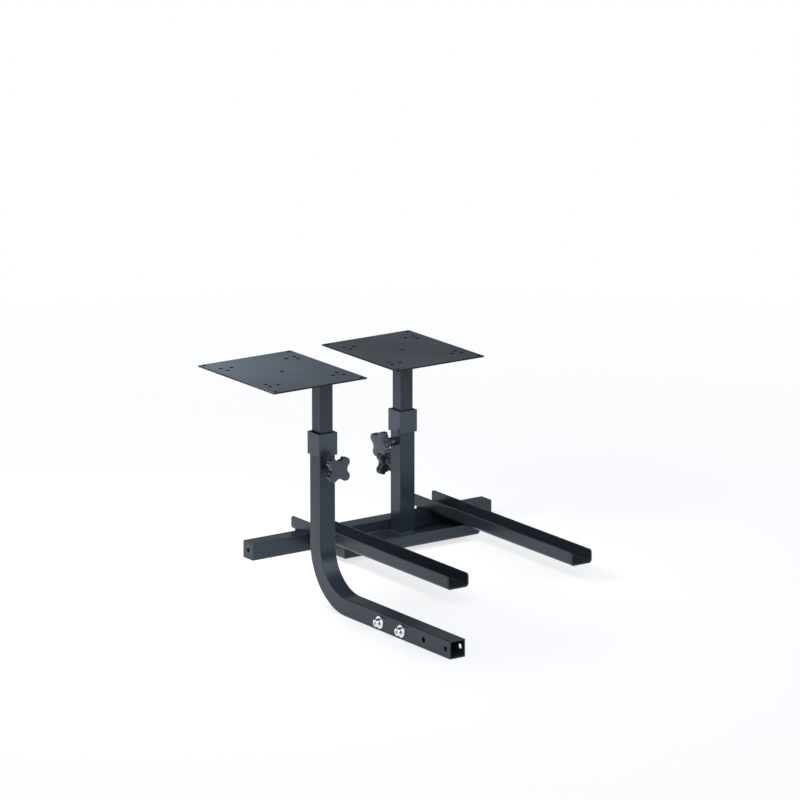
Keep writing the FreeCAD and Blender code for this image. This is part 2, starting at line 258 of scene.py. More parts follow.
class StageSettings(bpy.types.PropertyGroup):
    """Floor, light and camera of the studio."""
    floor: colour("Floor", "Colour of the pale floor", (0.42, 0.42, 0.42))
    floor_glow: share("Floor glow", "White that the floor near the mount shows besides its own light", 0.7)
    key: strength("Key", "Wide soft light high at the front left", 1.5)
    box: strength("Box", "Band of light at the front right, which the coat reflects", 2.1)
    back: strength("Back", "Light of the low wall behind the mount", 0.205)
    cool: colour("Light tint", "Cool tint of the studio's light", (0.93, 1.0, 1.11), 2.0)
    around: strength("Around", "Even light from all round", 0.05)
    lamp: FloatProperty(
        name="Plate lamp", description="Small lamp over the throttle's plate", subtype="POWER",
        min=0.0, max=500.0, default=4.4)
    camera_place: FloatVectorProperty(
        name="Camera", description="Where the camera stands",
        subtype="XYZ", size=3, unit="LENGTH", default=(8.14882, -5.33753, 2.75484))
    camera_turn: angle("Camera turn", "Way the camera looks, round the vertical", 55.2677)
    camera_drop: angle("Camera drop", "How far the camera looks down", 14.3595)
    lens: FloatProperty(
        name="Lens", description="Focal length on a 36 mm sensor",
        subtype="DISTANCE_CAMERA", min=10.0, max=1000.0, default=269.89)


def math_method(operation, swapped=False):
    """Method of a field that adds a Math node, swapped where the field is the second of two values."""
    def method(self, *others):
        node = self.tree.nodes.new("ShaderNodeMath")
        node.operation = operation
        values = (*others, self) if swapped else (self, *others)
        for socket, value in zip(node.inputs, values):
            fill_socket(self.tree, socket, value)
        return Field(self.tree, node.outputs[0])
    return method


class Field:
    """A value that varies in a node tree. Arithmetic on it adds Math nodes."""

    def __init__(self, tree, socket):
        self.tree = tree
        self.socket = socket

    __add__ = __radd__ = math_method("ADD")
    __sub__ = math_method("SUBTRACT")
    __rsub__ = math_method("SUBTRACT", swapped=True)
    __mul__ = math_method("MULTIPLY")
    __truediv__ = math_method("DIVIDE")
    __rtruediv__ = math_method("DIVIDE", swapped=True)
    cos = math_method("COSINE")
    sin = math_method("SINE")
    arctan = math_method("ARCTAN2")
    sqrt = math_method("SQRT")
    power = math_method("POWER")
    size = math_method("ABSOLUTE")
    sign = math_method("SIGN")
    floor = math_method("FLOOR")
    fraction = math_method("FRACT")
    least = math_method("MINIMUM")
    most = math_method("MAXIMUM")
    above = math_method("GREATER_THAN")


def fill_socket(tree, socket, value):
    """Links a field, node or output to a socket, or sets a constant on it."""
    if isinstance(value, Field):
        value = value.socket
    if isinstance(value, bpy.types.Node):
        value = value.outputs[0]
    if isinstance(value, bpy.types.NodeSocket):
        tree.links.new(value, socket)
    else:
        socket.default_value = value


def put(tree, kind, inputs=None, **settings):
    """Adds a node with its settings and inputs, which are named or numbered."""
    node = tree.nodes.new(kind)
    for name, value in settings.items():
        setattr(node, name, value)
    for key, value in (inputs or {}).items():
        fill_socket(tree, node.inputs[key], value)
    return node


def once(store, name, make):
    """The named data block, made the first time that it is asked for."""
    return store.get(name) or make(name)


def new_tree(name, inputs):
    """Geometry Nodes tree that takes a mesh and named sizes, its group input and the sizes' fields."""
    tree = bpy.data.node_groups.new(name, "GeometryNodeTree")
    for way in ("INPUT", "OUTPUT"):
        tree.interface.new_socket("Geometry", in_out=way, socket_type="NodeSocketGeometry")
    for label, kind in inputs:
        tree.interface.new_socket(label, in_out="INPUT", socket_type=f"NodeSocket{kind}")
    tree.interface.new_socket("Finish", in_out="INPUT", socket_type="NodeSocketMaterial")
    group_in = tree.nodes.new("NodeGroupInput")
    return tree, group_in, [Field(tree, group_in.outputs[label]) for label, _ in inputs]


def close_tree(tree, group_in, geometry):
    """Ends a tree in Realize Instances and Set Material."""
    real = put(tree, "GeometryNodeRealizeInstances", {"Geometry": geometry})
    done = put(tree, "GeometryNodeSetMaterial", {"Geometry": real, "Material": group_in.outputs["Finish"]})
    put(tree, "NodeGroupOutput", {"Geometry": done})
    return tree


def row_grid(tree, group_in, columns):
    """Grid with a row for each point of the incoming profile: mesh, columns, row points and row reliefs."""
    profile = group_in.outputs["Geometry"]
    count = put(tree, "GeometryNodeAttributeDomainSize", {"Geometry": profile}, component="MESH")
    around = columns + 1.0
    grid = put(tree, "GeometryNodeMeshGrid", {
        "Vertices X": count.outputs["Point Count"], "Vertices Y": around})
    index = Field(tree, put(tree, "GeometryNodeInputIndex").outputs[0])
    row = ((index + 0.5) / around).floor()
    column = index - row * around

    def sample(value):
        node = put(tree, "GeometryNodeSampleIndex", {"Geometry": profile, "Value": value, "Index": row},
                   data_type="FLOAT_VECTOR", domain="POINT")
        parts = put(tree, "ShaderNodeSeparateXYZ", {0: node})
        return [Field(tree, socket) for socket in parts.outputs]

    points = sample(put(tree, "GeometryNodeInputPosition"))
    relief = put(tree, "GeometryNodeInputNamedAttribute", {"Name": "relief"}, data_type="FLOAT_VECTOR")
    return grid.outputs["Mesh"], column, points, sample(relief)


def settle(tree, mesh, x, y, z):
    """Moves a grid's vertices to their places, closes its seam and poles and smooths it."""
    place = put(tree, "ShaderNodeCombineXYZ", {0: x, 1: y, 2: z})
    moved = put(tree, "GeometryNodeSetPosition", {"Geometry": mesh, "Position": place})
    merged = put(tree, "GeometryNodeMergeByDistance", {"Geometry": moved, "Distance": MERGE})
    return put(tree, "GeometryNodeSetShadeSmooth", {"Geometry": merged})


def turned_tree(name):
    """Piece turned about Z from a profile of (radius, 0, height), with thread and hexagon relief."""
    tree, group_in, (segments, pitch, depth) = new_tree(
        name, [("Segments", "Int"), ("Thread Pitch", "Float"), ("Thread Depth", "Float")])
    mesh, column, (radius, _, height), (thread, hexagon, _) = row_grid(tree, group_in, segments)
    around = column / segments * TAU
    phase = (height / pitch - around / TAU).fraction()
    ridge = ((phase * 2.0 - 1.0).size() * THREAD_STEEP - THREAD_ROOT).most(0.0).least(1.0)
    cut = thread * depth * (1.0 - ridge)
    sixth = TAU / 6
    corner = 1.0 / (((around / sixth + 0.5).fraction() - 0.5) * sixth).cos()
    reach = (radius - cut) * (1.0 + (corner - 1.0) * hexagon)
    return close_tree(tree, group_in, settle(tree, mesh, reach * around.cos(), reach * around.sin(), height))


def grip_tree(name):
    """Lobed grip of tangent arcs, from a profile of (inset, share of outline, height) with flute relief."""
    tree, group_in, (lobes, points, lobe_r, centre, valley_r, flute_r, flute_depth, step) = new_tree(
        name, [("Lobes", "Int"), ("Points", "Int"), ("Lobe Radius", "Float"), ("Lobe Centre", "Float"),
               ("Valley Radius", "Float"), ("Flute Radius", "Float"), ("Flute Depth", "Float"),
               ("Flute Step", "Float")])
    mesh, column, (inset, kept, height), (fluted, _, _) = row_grid(tree, group_in, lobes * points)
    half = math.pi / lobes
    reach = lobe_r + valley_r
    across = centre * half.sin()
    valley = centre * half.cos() + (reach * reach - across * across).sqrt()
    meet = (valley * half.sin()).arctan(valley * half.cos() - centre)
    lobe_run = lobe_r * meet
    run = lobe_run + valley_r * (meet - half)
    lobe = ((column + 0.5) / points).floor()
    along = ((column - lobe * points) / points - 0.5) * run * 2.0
    side = along.size()
    in_valley = side.above(lobe_run)
    lean = side / lobe_r + in_valley * (meet - (side - lobe_run) / valley_r - side / lobe_r)
    arc = lobe_r - in_valley * reach
    out_x = lean.cos()
    out_y = lean.sin()
    x = centre + in_valley * (valley * half.cos() - centre) + arc * out_x
    y = in_valley * valley * half.sin() + arc * out_y
    # Flutes lie half a step and one and a half steps from a lobe's middle, and in a valley's middle
    inner, outer, middle = [(side - spot).size() for spot in (lobe_r * step * 0.5, lobe_r * step * 1.5, run)]
    near = inner.least(outer).least(middle)
    scoop = (flute_r * flute_r - near * near).most(0.0).sqrt() - flute_r + flute_depth
    pull = scoop.most(0.0) * fluted + inset
    x = (x - pull * out_x) * kept
    y = (y - pull * out_y) * kept * along.sign()
    turn = lobe * half * 2.0
    turned_x = x * turn.cos() - y * turn.sin()
    turned_y = x * turn.sin() + y * turn.cos()
    return close_tree(tree, group_in, settle(tree, mesh, turned_x, turned_y, height))


def join_geometry(tree, *parts):
    """Joins the geometry of several nodes."""
    node = tree.nodes.new("GeometryNodeJoinGeometry")
    for part in parts:
        tree.links.new(part.outputs[0], node.inputs[0])
    return node


def lifted(tree, geometry, height):
    """Moves geometry up by a height."""
    return put(tree, "GeometryNodeTransform", {
        "Geometry": geometry, "Translation": put(tree, "ShaderNodeCombineXYZ", {2: height})})


def rim_profile(tree, thick, rounding):
    """Curve down a plate's edge, with a quarter round above and below."""
    last = 2 * PLATE_RIM_STEPS + 1
    line = put(tree, "GeometryNodeMeshLine", {"Count": last + 1})
    index = Field(tree, put(tree, "GeometryNodeInputIndex").outputs[0])
    lean = index.least(last - index) * (math.pi / 2 / PLATE_RIM_STEPS)
    side = (last / 2 - index).sign()
    place = put(tree, "ShaderNodeCombineXYZ", {
        0: lean.sin() * rounding, 1: side * (thick * 0.5 - (1.0 - lean.cos()) * rounding)})
    bent = put(tree, "GeometryNodeSetPosition", {"Geometry": line, "Position": place})
    return put(tree, "GeometryNodeMeshToCurve", {"Mesh": bent})


def plate_tree(name):
    """Drilled plate about the origin: a hole at each incoming point, rounded rims and cut walls marked for
    painted shade.
    """
    tree, group_in, (width, depth, thick, corner, hole, rounding) = new_tree(
        name, [("Width", "Float"), ("Depth", "Float"), ("Thickness", "Float"), ("Corner", "Float"),
               ("Hole Radius", "Float"), ("Edge Round", "Float")])
    box = put(tree, "GeometryNodeCurvePrimitiveQuadrilateral", {
        "Width": width - rounding * 2.0, "Height": depth - rounding * 2.0})
    outline = put(tree, "GeometryNodeFilletCurve", {
        "Curve": box, "Count": PLATE_CORNER_STEPS, "Radius": corner - rounding}, mode="POLY")
    ring = put(tree, "GeometryNodeCurvePrimitiveCircle", {
        "Resolution": PLATE_HOLE_SIDES, "Radius": hole + rounding})
    rings = put(tree, "GeometryNodeInstanceOnPoints", {
        "Points": group_in.outputs["Geometry"], "Instance": ring})
    rings = put(tree, "GeometryNodeRealizeInstances", {"Geometry": rings})
    holes = put(tree, "GeometryNodeReverseCurve", {"Curve": rings})
    rims = join_geometry(tree, outline, holes)
    flat = put(tree, "GeometryNodeFillCurve", {"Curve": rims}, mode="TRIANGLES")
    flat = put(tree, "GeometryNodeSetShadeSmooth", {"Geometry": flat, "Shade Smooth": False})
    top = lifted(tree, flat, thick * 0.5)
    bottom = lifted(tree, put(tree, "GeometryNodeFlipFaces", {"Mesh": flat}), thick * -0.5)
    profile = rim_profile(tree, thick, rounding)
    walls = []
    # The cut attribute marks walls for painted shade: fully in the holes, a share on the outer rim
    for rim, wall_shade in ((outline, RIM_SHADE_SHARE), (holes, 1.0)):
        level = put(tree, "GeometryNodeSetCurveNormal", {"Curve": rim}, mode="Z_UP")
        wall = put(tree, "GeometryNodeCurveToMesh", {"Curve": level, "Profile Curve": profile})
        wall = put(tree, "GeometryNodeFlipFaces", {"Mesh": wall})
        wall = put(tree, "GeometryNodeSetShadeSmooth", {"Geometry": wall})
        walls.append(put(tree, "GeometryNodeStoreNamedAttribute", {
            "Geometry": wall, "Name": "cut", "Value": wall_shade}, data_type="FLOAT", domain="FACE"))
    whole = join_geometry(tree, top, bottom, *walls)
    closed = put(tree, "GeometryNodeMergeByDistance", {"Geometry": whole, "Distance": MERGE})
    return close_tree(tree, group_in, closed)


def weld_tree(name):
    """Weld ripples laid end to end along the incoming edges."""
    tree, group_in, (pitch, width, seed) = new_tree(
        name, [("Pitch", "Float"), ("Half Width", "Float"), ("Seed", "Int")])
    path = put(tree, "GeometryNodeMeshToCurve", {"Mesh": group_in.outputs["Geometry"]})
    beads = put(tree, "GeometryNodeResampleCurve", {"Curve": path, "Length": pitch}, mode="LENGTH")
    along = put(tree, "FunctionNodeAlignRotationToVector", {
        "Vector": put(tree, "GeometryNodeInputTangent")}, axis="X")
    vary = put(tree, "FunctionNodeRandomValue", {
        "Min": (RIPPLE_LEAST,) * 3, "Max": (RIPPLE_MOST,) * 3, "Seed": seed}, data_type="FLOAT_VECTOR")
    size = put(tree, "ShaderNodeCombineXYZ", {0: width * RIPPLE_SHORT, 1: width, 2: width})
    scale = put(tree, "ShaderNodeVectorMath", {0: size, 1: vary}, operation="MULTIPLY")
    ripple = put(tree, "GeometryNodeMeshUVSphere", {
        "Segments": RIPPLE_SEGMENTS, "Rings": RIPPLE_RINGS, "Radius": 1.0})
    laid = put(tree, "GeometryNodeInstanceOnPoints", {
        "Points": beads, "Instance": ripple.outputs["Mesh"], "Rotation": along, "Scale": scale})
    return close_tree(tree, group_in, laid)


def with_modifier(mesh, kind, settings, sockets=None):
    """Plain mesh that one modifier makes of a mesh, with its settings and its tree's input values."""
    holder = bpy.data.objects.new("holder", mesh)
    bpy.context.scene.collection.objects.link(holder)
    modifier = holder.modifiers.new("step", kind)
    for name, value in settings.items():
        setattr(modifier, name, value)
    for identifier, value in (sockets or {}).items():
        modifier[identifier] = value
    depsgraph = bpy.context.evaluated_depsgraph_get()
    made = bpy.data.meshes.new_from_object(holder.evaluated_get(depsgraph), depsgraph=depsgraph)
    holder.modifiers.remove(modifier)
    bpy.data.objects.remove(holder)
    bpy.data.meshes.remove(mesh)
    if not made.polygons:
        raise RuntimeError(f"the {kind} modifier made no faces")
    return made


def run_tree(name, make, mesh, finish, values):
    """Plain mesh that a tree makes of a mesh with the named input values and finish."""
    tree = once(bpy.data.node_groups, name, make)
    values = {**values, "Finish": finish_material(finish)}
    sockets = {item.identifier: values[item.name] for item in tree.interface.items_tree
               if item.in_out == "INPUT" and item.name in values}
    return with_modifier(mesh, "NODES", {"node_group": tree}, sockets)


def profile_mesh(points, reliefs=()):
    """Points in a row, each with its relief where there is one."""
    mesh = bpy.data.meshes.new("profile")
    mesh.from_pydata(points, [(i, i + 1) for i in range(len(points) - 1)], [])
    if reliefs:
        layer = mesh.attributes.new("relief", "FLOAT_VECTOR", "POINT")
        for item, value in zip(layer.data, reliefs):
            item.vector = value
    return mesh


def facing(point, outward, turn=0.0):
    """Matrix that stands a piece's Z axis along a way, turned about it, at a point."""
    x_axis, y_axis = {
        (0, -1, 0): (Vector((1, 0, 0)), Vector((0, 0, 1))),
        (-1, 0, 0): (Vector((0, 0, 1)), Vector((0, 1, 0))),
        (1, 0, 0): (Vector((0, 0, -1)), Vector((0, 1, 0))),
    }[tuple(round(v) for v in outward)]
    basis = Matrix((x_axis, y_axis, outward)).transposed().to_4x4()
    return Matrix.Translation(point) @ basis @ Matrix.Rotation(math.radians(turn), 4, "Z")


def outward_faces(mesh):
    """Turns a closed mesh's faces out where they point in."""
    work = bmesh.new()
    work.from_mesh(mesh)
    if work.calc_volume(signed=True) < 0:
        bmesh.ops.reverse_faces(work, faces=work.faces)
        work.to_mesh(mesh)
    work.free()


def join_meshes(name, meshes):
    """One mesh of several."""
    work = bmesh.new()
    for mesh in meshes:
        work.from_mesh(mesh)
    joined = bpy.data.meshes.new(name)
    work.to_mesh(joined)
    work.free()
    for mesh in meshes:
        bpy.data.meshes.remove(mesh)
    return joined


def finish_piece(name, mesh, finish, body, crease=None):
    """Puts a finished mesh in the scene, riding on its body."""
    mesh.materials.clear()
    mesh.materials.append(finish_material(finish))
    if crease is not None:
        mesh.shade_smooth()
        mesh.set_sharp_from_angle(angle=math.radians(crease))
    piece = bpy.data.objects.new(name, mesh)
    bpy.context.scene.collection.objects.link(piece)
    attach(piece, body)
    return piece


def stand_for(node, ending, mesh, finish, crease=None):
    """Puts a finished mesh in the scene in a node's place, on the node's body."""
    piece = finish_piece(f"{node}_{ending}", mesh, finish, BODY_OF[node], crease)
    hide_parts(node)


def dressed_mesh(node, rounding):
    """Merged copy of a node's mesh with rounded edges, which the edge attribute marks."""
    source = frame["nodes"][node].data
    raw = bpy.data.meshes.new("raw")
    raw.from_pydata([v.co for v in source.vertices], [], [p.vertices for p in source.polygons])
    work = bmesh.new()
    work.from_mesh(raw)
    bmesh.ops.remove_doubles(work, verts=work.verts, dist=MERGE)
    bmesh.ops.dissolve_limit(work, angle_limit=math.radians(FLAT_ANGLE), verts=work.verts, edges=work.edges,
                             delimit={"NORMAL"})
    work.to_mesh(raw)
    work.free()
    # The second of two empty slots marks the faces that the rounding adds
    for _ in range(2):
        raw.materials.append(None)
    rounded = with_modifier(raw, "BEVEL", {
        "width": rounding, "segments": ROUND_SEGMENTS, "limit_method": "ANGLE",
        "angle_limit": math.radians(ROUND_ANGLE), "material": 1})
    edge = rounded.attributes.new("edge", "FLOAT", "FACE")
    for polygon in rounded.polygons:
        edge.data[polygon.index].value = float(polygon.material_index)
        polygon.material_index = 0
    rounded.shade_smooth()
    rounded.set_sharp_from_angle(angle=math.radians(SMOOTH_ANGLE))
    return with_modifier(rounded, "WEIGHTED_NORMAL", {"keep_sharp": True})


def dress(nodes, finish):
    """Dresses each named node with a rounded copy of its own mesh."""
    for node in nodes:
        mesh = dressed_mesh(node, bpy.context.scene.mount_detail.edge_round)
        stand_for(node, "dressed", mesh, finish)


def new_group(name, inputs, outputs):
    """Shader node group with float inputs and outputs, and its input node."""
    tree = bpy.data.node_groups.new(name, "ShaderNodeTree")
    for way, labels in (("INPUT", inputs), ("OUTPUT", outputs)):
        for label in labels:
            tree.interface.new_socket(label, in_out=way, socket_type="NodeSocketFloat")
    return tree, tree.nodes.new("NodeGroupInput")


def surface_group(name):
    """Fine grain for bump and a slow mottling for colour and gloss."""
    tree, group_in = new_group(name, ["Grain", "Mottle"], ["Height", "Tone", "Speck"])
    place = put(tree, "ShaderNodeTexCoord").outputs["Object"]
    fine = put(tree, "ShaderNodeTexNoise", {
        "Vector": place, "Scale": group_in.outputs["Grain"], "Detail": 2.0, "Roughness": 0.5})
    slow = put(tree, "ShaderNodeTexNoise", {
        "Vector": place, "Scale": group_in.outputs["Mottle"], "Detail": 3.0, "Roughness": 0.55})
    tone = put(tree, "ShaderNodeMapRange", {"Value": slow, "From Min": 0.32, "From Max": 0.68})
    speck = put(tree, "ShaderNodeMapRange", {"Value": fine, "From Min": 0.6, "From Max": 0.75})
    put(tree, "NodeGroupOutput", {"Height": fine, "Tone": tone, "Speck": speck})
    return tree


def painted_light_group(name):
    """Painted highlight mask of the rounded edges, broken up by noise, and the mask of the cut walls that
    get painted shade.
    """
    tree, group_in = new_group(name, ["Amount", "Scale"], ["Mask", "Cut"])
    cut, edge = [
        put(tree, "ShaderNodeAttribute", attribute_name=mark, attribute_type="GEOMETRY").outputs["Fac"]
        for mark in ("cut", "edge")]
    place = put(tree, "ShaderNodeTexCoord").outputs["Object"]
    noise = put(tree, "ShaderNodeTexNoise", {
        "Vector": place, "Scale": group_in.outputs["Scale"], "Detail": 4.0})
    patch = put(tree, "ShaderNodeMapRange", {
        "Value": noise, "From Min": 0.35, "From Max": 0.6, "To Min": 0.25})
    mask = Field(tree, edge) * patch * group_in.outputs["Amount"]
    put(tree, "NodeGroupOutput", {"Mask": mask, "Cut": cut})
    return tree


def place_group(tree, name, make, values):
    """Puts a shared shader group in a material with its own values."""
    node = tree.nodes.new("ShaderNodeGroup")
    node.node_tree = once(bpy.data.node_groups, name, make)
    for label, value in values.items():
        node.inputs[label].default_value = value
    return node


def mix_colour(tree, factor, first, second):
    """Colour between two, by a factor that varies over the surface."""
    node = put(tree, "ShaderNodeMix", {"Factor": factor}, data_type="RGBA")
    sockets = [socket for socket in node.inputs if socket.type == "RGBA"]
    for socket, value in zip(sockets, (first, second)):
        linked = isinstance(value, bpy.types.NodeSocket)
        fill_socket(tree, socket, value if linked else (*value, 1.0))
    return next(socket for socket in node.outputs if socket.type == "RGBA")


def blank_material(name):
    """New material with a Principled BSDF on its surface."""
    material = bpy.data.materials.new(name)
    material.use_nodes = True
    tree = material.node_tree
    tree.nodes.clear()
    shader = tree.nodes.new("ShaderNodeBsdfPrincipled")
    put(tree, "ShaderNodeOutputMaterial", {"Surface": shader})
    return material, tree, shader


def add_bump(tree, shader, height, strength, distance):
    """Bump from a height that varies over the surface."""
    bump = put(tree, "ShaderNodeBump", {"Strength": strength, "Distance": distance, "Height": height})
    fill_socket(tree, shader.inputs["Normal"], bump)


def add_rough(tree, shader, value, limits):
    """Roughness between two limits, by a value that varies from 0 to 1."""
    rough = put(tree, "ShaderNodeMapRange", {"Value": value, "To Min": limits[0], "To Max": limits[1]})
    fill_socket(tree, shader.inputs["Roughness"], rough)


def coat_material(name, gloss):
    """Powder coat: fine orange peel, slow mottling, a painted highlight of paler coat along the rounded
    edges and painted shade on the cut walls.
    """
    finish = bpy.context.scene.mount_finish
    material, tree, shader = blank_material(name)
    surface = place_group(tree, "surface", surface_group, {"Grain": 1.0 / finish.coat_grain, "Mottle": 9.0})
    # Painted highlight of paler coat along the rounded edges, broken up by noise
    painted_light = place_group(tree, "edge wear", painted_light_group, {"Amount": 0.45, "Scale": 45.0})
    base = mix_colour(tree, surface.outputs["Tone"], finish.coat, finish.coat_pale)
    base = mix_colour(tree, painted_light.outputs["Mask"], base, finish.edge)
    # Painted shade on the cut walls: near-black base colour and full metallic
    base = mix_colour(tree, painted_light.outputs["Cut"], base, CUT_WALL_SHADE)
    fill_socket(tree, shader.inputs["Base Color"], base)
    fill_socket(tree, shader.inputs["Metallic"], painted_light.outputs["Cut"])
    rough = (finish.coat_rough + COAT_ROUGH_SPREAD, finish.coat_rough - COAT_ROUGH_SPREAD)
    add_rough(tree, shader, surface.outputs["Tone"], rough)
    shader.inputs["Specular IOR Level"].default_value = gloss
    shader.inputs["Specular Tint"].default_value = (*finish.gloss_tint, 1.0)
    add_bump(tree, shader, surface.outputs["Height"], strength=0.08, distance=0.0003)
    return material


def graphite_coat(name):
    """Coat on the tubes, sheets, plates, nuts and welds."""
    return coat_material(name, bpy.context.scene.mount_finish.coat_gloss)


def collar_coat(name):
    """Glossier coat on the clamp collars."""
    return coat_material(name, bpy.context.scene.mount_finish.collar_gloss)


def grip_plastic(name):
    """Moulded plastic with a fine spark texture."""
    finish = bpy.context.scene.mount_finish
    material, tree, shader = blank_material(name)
    surface = place_group(tree, "surface", surface_group, {"Grain": 2200.0, "Mottle": 60.0})
    paler = [GRIP_PALER * v for v in finish.grip]
    base = mix_colour(tree, surface.outputs["Tone"], finish.grip, paler)
    fill_socket(tree, shader.inputs["Base Color"], base)
    add_rough(tree, shader, surface.outputs["Speck"], GRIP_ROUGH)
    shader.inputs["Specular IOR Level"].default_value = finish.grip_gloss
    shader.inputs["Specular Tint"].default_value = (*finish.gloss_tint, 1.0)
    add_bump(tree, shader, surface.outputs["Height"], strength=0.25, distance=0.0002)
    return material


def zinc_plate(name):
    """Bright zinc with a faint cloud in its colour and gloss."""
    finish = bpy.context.scene.mount_finish
    material, tree, shader = blank_material(name)
    surface = place_group(tree, "surface", surface_group, {"Grain": 1500.0, "Mottle": 160.0})
    darker = [ZINC_DARKER * v for v in finish.zinc]
    base = mix_colour(tree, surface.outputs["Tone"], darker, finish.zinc)
    fill_socket(tree, shader.inputs["Base Color"], base)
    add_rough(tree, shader, surface.outputs["Tone"], ZINC_ROUGH)
    shader.inputs["Metallic"].default_value = 1.0
    add_bump(tree, shader, surface.outputs["Height"], strength=0.04, distance=0.0002)
    return material


# What makes each finish, and the record's material slot that it belongs to
FINISHES = {
    "graphite coat": (graphite_coat, "graphite_coat"),
    "collar coat": (collar_coat, "graphite_coat"),
    "grip plastic": (grip_plastic, "black_grip"),
    "zinc plate": (zinc_plate, "zinc_steel"),
}


def finish_material(finish):
    """Material of a finish, made the first time that it is asked for."""
    return once(bpy.data.materials, finish, FINISHES[finish][0])


class MOUNT_OT_tubes(bpy.types.Operator):
    """Dress the cross tube, posts, masts and the bent stand"""
    bl_idname = "stick_mount.tubes"
    bl_label = "Tubes"

    def execute(self, context):
        dress(TUBES, "graphite coat")
        return {"FINISHED"}


class MOUNT_OT_sheets(bpy.types.Operator):
    """Dress the channel rails and the tray"""
    bl_idname = "stick_mount.sheets"
    bl_label = "Rails and tray"

    def execute(self, context):
        dress(SHEETS, "graphite coat")
        return {"FINISHED"}


class MOUNT_OT_plates(bpy.types.Operator):
    """Cut and drill the two device plates"""
    bl_idname = "stick_mount.plates"
    bl_label = "Device plates"

    def execute(self, context):
        spots = [(0.0, 0.0, 0.0)]
        for across, along in PLATE_PATTERNS:
            spots += [(i * across * MM / 2, j * along * MM / 2, 0.0) for i in (-1, 1) for j in (-1, 1)]
        for node in PLATES:
            low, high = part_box(node)
            size = high - low
            mesh = run_tree("drilled plate", plate_tree, profile_mesh(spots), "graphite coat", {
                "Width": size.x, "Depth": size.y, "Thickness": size.z, "Corner": PLATE_CORNER * MM,
                "Hole Radius": PLATE_HOLE * MM, "Edge Round": context.scene.mount_detail.edge_round})
            outward_faces(mesh)
            mesh.transform(Matrix.Translation((low + high) / 2))
            stand_for(node, "drilled", mesh, "graphite coat")
        return {"FINISHED"}


class MOUNT_OT_collars(bpy.types.Operator):
    """Dress the collars round the masts and the weld nuts"""
    bl_idname = "stick_mount.collars"
    bl_label = "Collars and nuts"

    def execute(self, context):
        dress(COLLARS, "collar coat")
        dress(NUTS, "graphite coat")
        return {"FINISHED"}


def turned_mesh(rows, reliefs, segments, finish):
    """Mesh turned about Z from rows of (radius, height), in millimetres, with their reliefs."""
    detail = bpy.context.scene.mount_detail
    profile = profile_mesh([(radius * MM, 0.0, height * MM) for radius, height in rows], reliefs)
    mesh = run_tree("turned piece", turned_tree, profile, finish, {
        "Segments": segments, "Thread Pitch": detail.thread_pitch, "Thread Depth": detail.thread_depth})
    outward_faces(mesh)
    return mesh


def threaded_rows(radius, low, high):
    """Profile rows of a thread from low to high, which runs out at each end, and their reliefs."""
    pitch = bpy.context.scene.mount_detail.thread_pitch / MM
    count = math.ceil((high - low) / pitch * THREAD_ROWS)
    rows = []
    reliefs = []
    for i in range(count + 1):
        height = low + (high - low) * i / count
        near_end = min(1.0, (height - low) / THREAD_LEAD, (high - height) / THREAD_LEAD)
        rows.append((radius - THREAD_LEAD_DROP * (1.0 - near_end), height))
        reliefs.append((near_end, 0, 0))
    return rows, reliefs


class MOUNT_OT_studs(bpy.types.Operator):
    """Cut the threaded studs of the clamps"""
    bl_idname = "stick_mount.studs"
    bl_label = "Clamp studs"

    def execute(self, context):
        for name, outward, _ in CLAMPS:
            node = f"{name}_stud"
            low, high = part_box(node)
            half = abs((high - low).dot(outward)) / MM / 2
            radius = min(high - low) / 2 / MM
            rows, reliefs = threaded_rows(radius, -half, half)
            rows = [(0, -half), *rows, (0, half)]
            mesh = turned_mesh(rows, [PLAIN, *reliefs, PLAIN], STUD_SEGMENTS, "zinc plate")
            mesh.transform(facing((low + high) / 2, outward))
            stand_for(node, "threaded", mesh, "zinc plate", STUD_CREASE)
        return {"FINISHED"}


def grip_profile():
    """Rows from the middle of the grip's back over its rim to the middle of its front, with flutes."""
    turns = [math.pi / 2 * i / GRIP_EDGE_STEPS for i in range(GRIP_EDGE_STEPS + 1)]
    edge = [(GRIP_EDGE * (1 - math.sin(turn)), GRIP_EDGE * (1 - math.cos(turn))) for turn in turns]
    back = [(inset, 1.0, height, 1.0) for inset, height in edge]
    stop = GRIP_THICK - FLUTE_STOP
    ends = [(0.0, 1.0, stop - early, depth) for early, depth in FLUTE_RUN_OUT]
    front = [(inset, 1.0, GRIP_THICK - height, 0.0) for inset, height in reversed(edge)]
    rows = [(GRIP_EDGE, 0.0, 0.0, 0.0), *back, *ends, *front, (GRIP_EDGE, 0.0, GRIP_THICK, 0.0)]
    points = [(inset * MM, kept, height * MM) for inset, kept, height, _ in rows]
    return profile_mesh(points, [(depth, 0, 0) for _, _, _, depth in rows])


def neck_rows():
    """Rows of a knob's neck, from its bore over its end to the flare at the grip's back."""
    bore = [(0, BORE_DEPTH), (STUD_BORE, BORE_DEPTH), (STUD_BORE, BORE_EDGE), (STUD_BORE + BORE_EDGE, 0.0)]
    bend = NECK_EDGE_BEND * NECK_EDGE
    end = [(NECK_RADIUS - NECK_EDGE, 0.0), (NECK_RADIUS - bend, bend),
           (NECK_RADIUS, NECK_EDGE)]
    flare = [(NECK_RADIUS + outset, NECK_LENGTH + height) for outset, height in NECK_FLARE]
    return [*bore, *end, *flare, (0, NECK_LENGTH + NECK_FLARE[-1][1])]


